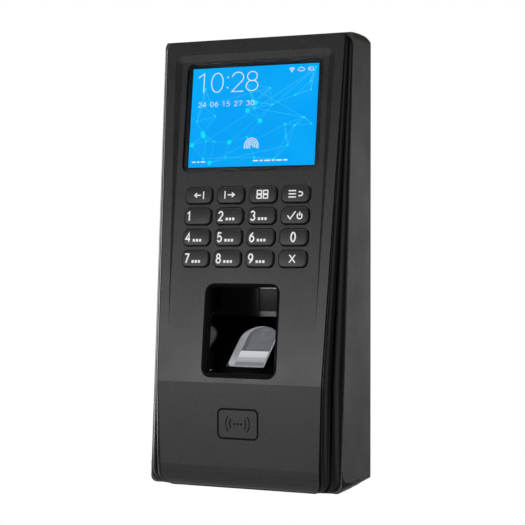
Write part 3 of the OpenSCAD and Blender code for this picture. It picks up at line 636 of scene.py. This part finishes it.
# Strokes of each digit in a cell one unit high and about 0.6 wide
DIGITS = {
    "0": [arc(0.3, 0.5, 0.28, 0.5, 90, 450, 24)],
    "1": [[(0.06, 0.8), (0.34, 1.0), (0.34, 0.0)]],
    "2": [arc(0.3, 0.72, 0.27, 0.28, 170, -38) + [(0.03, 0.0), (0.6, 0.0)]],
    "3": [arc(0.28, 0.755, 0.25, 0.245, 160, -80), arc(0.28, 0.265, 0.29, 0.265, 85, -160)],
    "4": [[(0.46, 0.0), (0.46, 1.0), (0.0, 0.3), (0.62, 0.3)]],
    "5": [[(0.54, 1.0), (0.11, 1.0), (0.06, 0.52)] + arc(0.28, 0.32, 0.28, 0.32, 128, -155)],
    "6": [[(0.46, 1.0)] + arc(0.62, 0.34, 0.59, 0.62, 115, 178, 6),
          arc(0.31, 0.31, 0.28, 0.31, 0, 360, 20)],
    "7": [[(0.02, 1.0), (0.58, 1.0), (0.2, 0.0)]],
    "8": [arc(0.3, 0.76, 0.23, 0.24, 0, 360, 20), arc(0.3, 0.27, 0.28, 0.27, 0, 360, 20)],
    "9": [[(0.14, 0.0)] + arc(-0.02, 0.66, 0.59, 0.62, -65, -2, 6),
          arc(0.29, 0.69, 0.28, 0.31, 0, 360, 20)],
}


def draw(solid, strokes, x, y, w, h, pen, n0, n1):
    """Draws unit strokes in a cell whose lower left corner is x, y."""
    for stroke in strokes:
        points = [(x + px * w, y + py * h) for px, py in stroke]
        ring = (Vector(points[0]) - Vector(points[-1])).length < 1e-6
        solid.line(points[:-1] if ring else points, pen, n0, n1, ring)


MID_Y = floor_y(DISPLAY_Z)


def picture_point(u, v):
    """A place on the picture: u from its left edge and v from its bottom edge, as shares."""
    return (u - 0.5) * PICTURE_W, MID_Y + (v - 0.5) * PICTURE_H


def make_picture():
    """The lit sheet behind the window, its black border, and what the picture shows."""
    sheet = Solid()
    sheet.stack(lambda inset: round_rect(PICTURE_W + 1, PICTURE_H + 1, 0.4, 0, MID_Y, 2),
                [(PICTURE_N - 0.3, 0), (PICTURE_N, 0)])
    azure = lit("display_azure", srgb(0, 168, 255), srgb(0, 180, 255))
    sheet.build("display_picture", azure, "lcd_glass", ON_FLOOR)

    border = Solid()
    outer = round_rect(WINDOW_W - 0.2, WINDOW_H - 0.2, WINDOW_R - 0.1, 0, MID_Y)
    inner = round_rect(PICTURE_W, PICTURE_H, 0.15, 0, MID_Y)
    top_n, foot_n = -1.3, PICTURE_N + 0.06
    rounds = ((outer, top_n), (inner, top_n), (inner, foot_n), (outer, foot_n))
    border.loft([[(*p, n) for p in points] for points, n in rounds], ring=True)
    border.build("display_border", BLACK_PRINT, "window_lens", ON_FLOOR)

    make_network_pattern()
    make_clock()
    make_status_icons()
    make_prompt()


def make_network_pattern():
    """Faint lines between scattered nodes, drawn afresh from a seed."""
    random.seed(11)
    foot, top = PICTURE_N - 0.1, PICTURE_N + PICTURE_STEP
    count, pen, big_r, small_r = 36, 0.16, 0.95, 0.45
    spots = [(random.uniform(0.02, 0.98), random.uniform(0.03, 0.97)) for _ in range(count)]
    lines, dots = Solid(), Solid()
    for i, spot in enumerate(spots):
        near = sorted(spots, key=lambda s: math.dist(s, spot))[1:4]
        far = [spots[(i * 7) % count]] if i % 2 == 0 else []
        for other in near + far:
            if other != spot:
                lines.line([picture_point(*spot), picture_point(*other)], pen, foot, top)
    for i, spot in enumerate(spots):
        x, y = picture_point(*spot)
        dots.dot(x, y, big_r if i % 5 == 0 else small_r, foot, top + PICTURE_STEP)
    line_blue = lit("display_line_blue", srgb(50, 196, 255), srgb(74, 206, 255))
    lines.build("display_lines", line_blue, "lcd_glass", ON_FLOOR)
    dot_cyan = lit("display_dot_cyan", srgb(0, 232, 255), srgb(20, 240, 255))
    dots.build("display_dots", dot_cyan, "lcd_glass", ON_FLOOR)


DISPLAY_WHITE = lit("display_white", srgb(235, 248, 255), srgb(255, 255, 255))


def make_clock():
    """Thin clock digits, each centred at its share of the picture's width, over a row of small ones."""
    clock = Solid()
    w, h, pen, line_v = 9.2, 7.9, 0.3, 0.755
    for digit, share in (("1", 0.085), ("0", 0.2), ("2", 0.365), ("8", 0.48)):
        x, y = picture_point(share, line_v)
        draw(clock, DIGITS[digit], x - 0.3 * w, y, w, h, pen, PICTURE_N, PRINT_TOP)
    for step in (0.22, 0.75):
        x, y = picture_point(0.285, line_v)
        clock.dot(x, y + step * h, 0.28, PICTURE_N, PRINT_TOP)

    small_w, small_h, small_pen, pitch, pair_gap = 2.3, 1.95, 0.17, 2.0, 1.3
    x, y = picture_point(0.055, 0.61)
    for i, digit in enumerate("2406152730"):
        at = x + i * pitch + pair_gap * (i // 2)
        draw(clock, DIGITS[digit], at, y, small_w, small_h, small_pen, PICTURE_N, PRINT_TOP)
    clock.build("display_clock", DISPLAY_WHITE, "lcd_glass", ON_FLOOR)


def make_status_icons():
    """Radio arcs, a cloud and a small rounded box at the top right of the picture."""
    icons = Solid()
    x, y = picture_point(0.79, 0.925)
    for r in (0.65, 1.15, 1.65):
        icons.line(arc(x, y, r, r, 45, 135, 8), 0.24, PICTURE_N, PRINT_TOP)
    icons.dot(x, y + 0.1, 0.26, PICTURE_N, PRINT_TOP)
    x, y = picture_point(0.862, 0.93)
    cloud = arc(x - 0.75, y + 0.5, 0.5, 0.5, 270, 110) + arc(x, y + 0.95, 0.62, 0.6, 160, 20)
    cloud += arc(x + 0.85, y + 0.55, 0.55, 0.55, 70, -90)
    icons.line(cloud, 0.2, PICTURE_N, PRINT_TOP, ring=True)
    x, y = picture_point(0.938, 0.93)
    icons.line(round_rect(2.0, 1.3, 0.3, x, y + 0.7, 3), 0.18, PICTURE_N, PRINT_TOP, ring=True)
    icons.dot(x - 0.4, y + 0.7, 0.25, PICTURE_N, PRINT_TOP)
    icons.build("display_icons", DISPLAY_WHITE, "lcd_glass", ON_FLOOR)


def make_prompt():
    """Plain fingertip arcs in the middle, and rows of dashes where a terminal shows its state."""
    prompt = Solid()
    x, y = picture_point(0.5, 0.19)
    for i in range(4):
        r = 0.7 + 0.75 * i
        prompt.line([(x - r, y - 0.5)] + arc(x, y + 0.6, r, r * 1.05, 180, 0, 12) + [(x + r, y - 0.2 * i)],
                    0.3, PICTURE_N, PRINT_TOP)
    for start, widths in ((0.03, (1.5, 1.0, 1.9)), (0.52, (2.2, 1.3, 2.6, 1.0, 2.4, 1.7))):
        x, y = picture_point(start, 0.055)
        for w in widths:
            prompt.line([(x, y), (x + w, y)], 0.5, PICTURE_N, PRINT_TOP)
            x += w + 0.7
    prompt.build("display_prompt", DISPLAY_WHITE, "lcd_glass", ON_FLOOR)


# ---------- keys ----------

def small_bars(solid, x, y, n0, n1):
    """Stands where a telephone keypad carries its small letters."""
    pitch, length, height = 1.4, 0.95, 1.05
    for i in range(3):
        solid.line([(x + pitch * i, y), (x + pitch * i + length, y)], height, n0, n1)


# Strokes of each command sign, one unit high and centred on the key's width
KEY_MARKS = {
    "key_in": [[(-0.55, 0.5), (0.35, 0.5)],
               [(-0.2, 0.78), (-0.55, 0.5), (-0.2, 0.22)],
               [(0.75, 1.0), (0.75, 0.0)]],
    "key_out": [[(-0.35, 0.5), (0.6, 0.5)],
                [(0.25, 0.78), (0.6, 0.5), (0.25, 0.22)],
                [(-0.75, 1.0), (-0.75, 0.0)]],
    "key_fn": [round_rect(0.62, 0.44, 0.05, x, y, 2) + [round_rect(0.62, 0.44, 0.05, x, y, 2)[0]]
               for x in (-0.45, 0.45) for y in (0.22, 0.78)],
    "key_menu": [[(-0.95, y), (0.1, y)] for y in (0.1, 0.5, 0.9)]
                + [[(0.45, 0.75)] + arc(0.7, 0.5, 0.32, 0.25, 90, -90, 8) + [(0.45, 0.25)]],
    "key_ok": [[(-0.95, 0.5), (-0.55, 0.05), (0.15, 1.0)],
               arc(0.75, 0.42, 0.34, 0.36, 125, 415, 14),
               [(0.75, 0.95), (0.75, 0.45)]],
    "key_clear": [[(-0.4, 0.0), (0.4, 1.0)], [(-0.4, 1.0), (0.4, 0.0)]],
}


def mark_key(solid, name):
    """White legend on a key's top: a digit, or a plain sign for a command."""
    low, high, y = KEY_PROUD - MARK_SUNK, KEY_PROUD + MARK_PROUD, -MARK_H / 2
    label = name.split("_")[1]
    if label == "0":
        draw(solid, DIGITS["0"], -0.95, y, 3.1, MARK_H, 0.62, low, high)
    elif label in DIGITS:
        draw(solid, DIGITS[label], -4.5, y, 3.0, MARK_H, 0.6, low, high)
        if label != "1":
            small_bars(solid, -1.4, y + 0.55, low, high)
    else:
        draw(solid, KEY_MARKS[name], 0, y + 0.2, 3.0, MARK_H - 0.4, 0.5, low, high)


def make_key(name, row, column):
    """One key with its rounded top, the flange that holds it in and the stem that presses the mat."""
    middle = ((column - 1.5) * KEY_PITCH_X, floor_y(KEY_TOP_Z - row * KEY_PITCH_Z), 0)
    matrix = ON_FLOOR @ Matrix.Translation(middle)
    turns = [math.radians(15 * i) for i in range(7)]
    rounding = [(KEY_PROUD - KEY_EDGE_R + KEY_EDGE_R * math.sin(a), KEY_EDGE_R * (1 - math.cos(a)))
                for a in turns]
    cap = Solid()
    cap.stack(lambda inset: round_rect(KEY_W - 2 * inset, KEY_H - 2 * inset, KEY_R - inset),
              [(KEY_FLANGE_TOP - 0.01, 0)] + rounding)

    def flange(inset):
        return round_rect(KEY_FLANGE_W - 2 * inset, KEY_FLANGE_H - 2 * inset, KEY_FLANGE_R - inset)

    cap.stack(flange, [(KEY_FLANGE_FOOT, 0.1), (KEY_FLANGE_FOOT + 0.1, 0),
                       (KEY_FLANGE_TOP - 0.1, 0), (KEY_FLANGE_TOP, 0.1)])
    stem = arc(0, 0, KEY_STEM_R, KEY_STEM_R, 0, 360, 32)[:-1]
    cap.loft([[(*p, n) for p in stem] for n in (KEY_STEM_END, KEY_FLANGE_FOOT + 0.01)])
    piece = cap.build(name + "_cap", LOOKS["key_plastic"], "key_plastic", matrix, body=name, smooth=30)
    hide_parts(name)
    legend = Solid()
    mark_key(legend, name)
    legend.build(name + "_legend", WHITE_PRINT, "key_plastic", matrix, body=name)


# ---------- platen, card mark ----------

def make_platen():
    """Glass block: a wide bevel on its left, a banded face, and a paler optical field in that. All of them
    glow with painted light, and the bands are painted reflections.
    """
    top = PLATEN_PROUD
    rim = Solid()
    rim.stack(lambda inset: arch(PLATEN_W, PLATEN_L, inset, 2.4),
              [(top - PLATEN_T, 0), (top - 0.5, 0), (top - 0.42, 0.08), (top - 0.12, 0.3)])
    # Painted light: the lighter bevel glows.
    edge_glass = painted_glow_glass("platen_edge", 138, 158, 0.8)
    piece = rim.build("platen_block", edge_glass, "platen_glass", ON_INCLINE, smooth=25)
    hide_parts("sensor_platen")

    field = Solid()
    field_w, field_l, field_x = PLATEN_W - 3.6, PLATEN_L - 0.6, 1.5
    field.stack(lambda inset: [(x + field_x, y) for x, y in arch(field_w, field_l, inset, 0.4)],
                [(top - 0.3, 0), (top - 0.06, 0), (top - 0.02, 0.05)])
    field.build("platen_field", LOOKS["platen_glass"], "platen_glass", ON_INCLINE, smooth=25)

    core = Solid()
    core_foot, core_x = 9.3, 2.3
    core_shape = arch(PLATEN_W - 5.8, PLATEN_L - 1.4 - core_foot, 0, 0.3)
    core.loft([[(x + core_x, y + core_foot, n) for x, y in core_shape] for n in (top - 0.1, top)])
    # Painted light: the core glows.
    core_glass = painted_glow_glass("platen_core", 102, 112, 0.8)
    core.build("platen_core", core_glass, "platen_glass", ON_INCLINE, smooth=25)


def make_card_mark():
    """Rounded frame with a plain contactless sign, in thin dark lines."""
    mark = Solid()
    low, high = -0.15, 0.02
    mid = CARD_MARK_Z - CREASE_Z
    mark.line(round_rect(CARD_MARK_W, CARD_MARK_H, CARD_MARK_R, 0, mid), CARD_MARK_PEN, low, high, ring=True)
    for i in (-1, 0, 1):
        mark.dot(i * 1.35, mid, 0.42, low, high)
    for side in (0, 180):
        for r, half in ((3.4, 32), (5.0, 36)):
            mark.line(arc(0, mid, r, r, side - half, side + half, 10), 0.45, low, high)
    mark.build("card_mark", DARK_PRINT, "cover_plastic", ON_LOWER)


make_bezel()
make_skirt(1)
make_skirt(-1)
make_picture()
for row, names in enumerate(KEYS):
    for column, name in enumerate(names):
        make_key(name, row, column)
make_platen()
make_card_mark()


# ---------- floor, light and camera ----------

def make_floor():
    """Pale floor well below the terminal, which hangs on its wall plate."""
    mesh = bpy.data.meshes.new("floor")
    half, z = 6.0, -0.45
    corners = [(x, y, z) for x, y in ((-half, -half), (half, -half), (half, half), (-half, half))]
    mesh.from_pydata(corners, [], [(0, 1, 2, 3)])
    look = Look("pale_floor")
    look.colour(look.mottle((0.85, 0.85, 0.85, 1), 0.02, 2)).gloss(0.8, 0.9, 3)
    whiten(look)
    mesh.materials.append(look.material)
    floor = bpy.data.objects.new("floor", mesh)
    bpy.context.scene.collection.objects.link(floor)


def whiten(look):
    """The floor shows plain white to the camera, and lights the object only as pale card would."""
    ray = look.nodes.new("ShaderNodeLightPath").outputs["Is Camera Ray"]
    white = look.nodes.new("ShaderNodeEmission")
    white.inputs["Strength"].default_value = 1.0
    mix = look.nodes.new("ShaderNodeMixShader")
    output = next(n for n in look.nodes if n.type == "OUTPUT_MATERIAL")
    look.links.new(ray, mix.inputs[0])
    look.links.new(look.shader.outputs[0], mix.inputs[1])
    look.links.new(white.outputs[0], mix.inputs[2])
    look.links.new(mix.outputs[0], output.inputs["Surface"])


def make_world():
    """Dim even light from the room, behind a background that the camera sees as white."""
    world = bpy.data.worlds.new("studio")
    world.use_nodes = True
    nodes, links = world.node_tree.nodes, world.node_tree.links
    room = nodes["Background"]
    room.inputs["Color"].default_value = (0.75, 0.77, 0.8, 1)
    room.inputs["Strength"].default_value = 0.07
    white = nodes.new("ShaderNodeBackground")
    white.inputs["Color"].default_value = (1, 1, 1, 1)
    mix = nodes.new("ShaderNodeMixShader")
    ray = nodes.new("ShaderNodeLightPath")
    links.new(ray.outputs["Is Camera Ray"], mix.inputs[0])
    links.new(room.outputs[0], mix.inputs[1])
    links.new(white.outputs[0], mix.inputs[2])
    links.new(mix.outputs[0], nodes["World Output"].inputs["Surface"])
    bpy.context.scene.world = world


def softbox(name, azimuth, elevation, distance, size, power):
    """Area light that faces the object. Azimuth 0 is in front, 90 to its right."""
    data = bpy.data.lights.new(name, "AREA")
    data.shape = "RECTANGLE"
    data.size, data.size_y = size
    data.energy = power
    light = bpy.data.objects.new(name, data)
    a, e = math.radians(azimuth), math.radians(elevation)
    way = Vector((math.sin(a) * math.cos(e), -math.cos(a) * math.cos(e), math.sin(e)))
    light.location = way * distance
    light.rotation_euler = (-way).to_track_quat("-Z", "Y").to_euler()
    bpy.context.scene.collection.objects.link(light)


def make_camera():
    """The photo's camera: to the right of the object, nearly level, looking slightly down."""
    turn, dip = 23.1, 0.54
    data = bpy.data.cameras.new("camera")
    data.lens = 98.83
    data.sensor_width = 36
    camera = bpy.data.objects.new("camera", data)
    camera.location = (0.229, -0.552, 0.0039)
    camera.rotation_euler = (math.radians(90 - dip), 0, math.radians(turn))
    bpy.context.scene.collection.objects.link(camera)
    bpy.context.scene.camera = camera


make_floor()
make_world()
softbox("key", -23, 3.0, 1.6, (0.7, 0.27), 4.9)
softbox("top", -15, 80, 1.4, (1.2, 0.6), 9)
softbox("right", 72, 5, 1.5, (0.9, 1.3), 2.8)
softbox("right_back", 156, 0, 1.5, (0.45, 0.5), 0.95)
softbox("left", -112, 12, 1.5, (0.6, 1.2), 9)

make_camera()
bpy.context.scene.view_settings.view_transform = "Standard"
